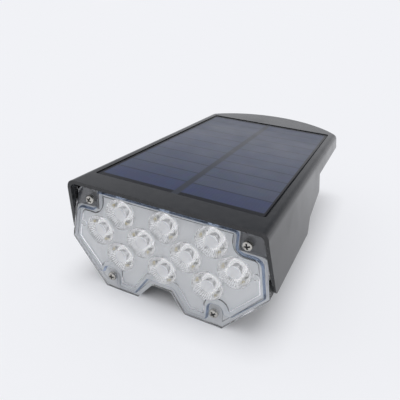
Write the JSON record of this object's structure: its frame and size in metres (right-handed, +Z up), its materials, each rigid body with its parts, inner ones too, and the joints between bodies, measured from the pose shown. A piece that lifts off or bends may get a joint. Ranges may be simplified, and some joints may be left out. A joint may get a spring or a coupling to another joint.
{
  "type": "solar garden spotlight",
  "caption": "Solar garden spotlight with a panel on its hooded top, a clear notched lens face over staggered optics, and a folding clamped arm that takes a stake.",
  "frame": {"origin": "centre of the bounding box on the surface the lamp stands on", "axes": "+Y from the lens face to the round back, +Z up out of the solar panel, +X to the right seen from the front"},
  "size_m": [0.1096, 0.1955, 0.058],
  "materials": {
    "black_gloss": "gloss black moulded plastic",
    "black_plastic": "fine matt black moulded plastic",
    "clear_resin": "clear cast resin",
    "solar_cell": "dark blue silicon",
    "board_black": "dark board",
    "white_foam": "double sided foam tape",
    "wire": "insulated wire",
    "clear_plastic": "clear moulded plastic",
    "silicone_white": "translucent silicone",
    "screw_steel": "nickel plated steel",
    "reflector_grey": "pale satin plastic",
    "board_white": "white solder mask",
    "led_cream": "pale phosphor",
    "cell_sleeve": "shrink sleeve on steel",
    "nickel": "nickel strip",
    "board_green": "green solder mask",
    "component_black": "moulded component",
    "button_rubber": "soft grey rubber"
  },
  "bodies": {
    "lamp": {"top_cover": "black_gloss", "panel_sheet": "clear_resin", "panel_cells": "solar_cell", "panel_board": "board_black", "panel_tape": "white_foam", "panel_leads": "wire", "lens_cover": "clear_plastic", "lens_gasket": "silicone_white", "lens_screws": "screw_steel", "reflector": "reflector_grey", "led_board": "board_white", "leds": "led_cream", "led_leads": "wire", "lower_housing": "black_plastic", "back_plate": "black_plastic", "cover_screws": "screw_steel", "battery_cell": "cell_sleeve", "battery_tabs": "nickel", "battery_strap": "black_plastic", "strap_screws": "screw_steel", "battery_leads": "wire", "control_board": "board_green", "board_parts": "component_black", "board_screws": "screw_steel", "mode_switch": "component_black", "button_seal": "silicone_white", "pivot_nut": "screw_steel", "pivot_washer": "screw_steel"},
    "arm": {"mount_arm": "black_plastic"},
    "knob": {"clamp_knob": "black_plastic", "pivot_bolt": "screw_steel"},
    "button": {"mode_button": "button_rubber", "switch_plunger": "component_black"}
  },
  "joints": [
    {"name": "arm_tilt", "type": "hinge", "parent": "lamp", "child": "arm", "pos_m": [0, -0.01375, 0.0096], "axis": [1, 0, 0], "range_deg": [0, 180]},
    {"name": "knob_turn", "type": "hinge", "parent": "lamp", "child": "knob", "pos_m": [0, -0.01375, 0.0096], "axis": [1, 0, 0], "range_deg": [0, 360]},
    {"name": "button_press", "type": "slide", "parent": "lamp", "child": "button", "axis": [0, 0, 1], "range_m": [0, 0.001], "stiffness_N_per_m": 800}
  ]
}
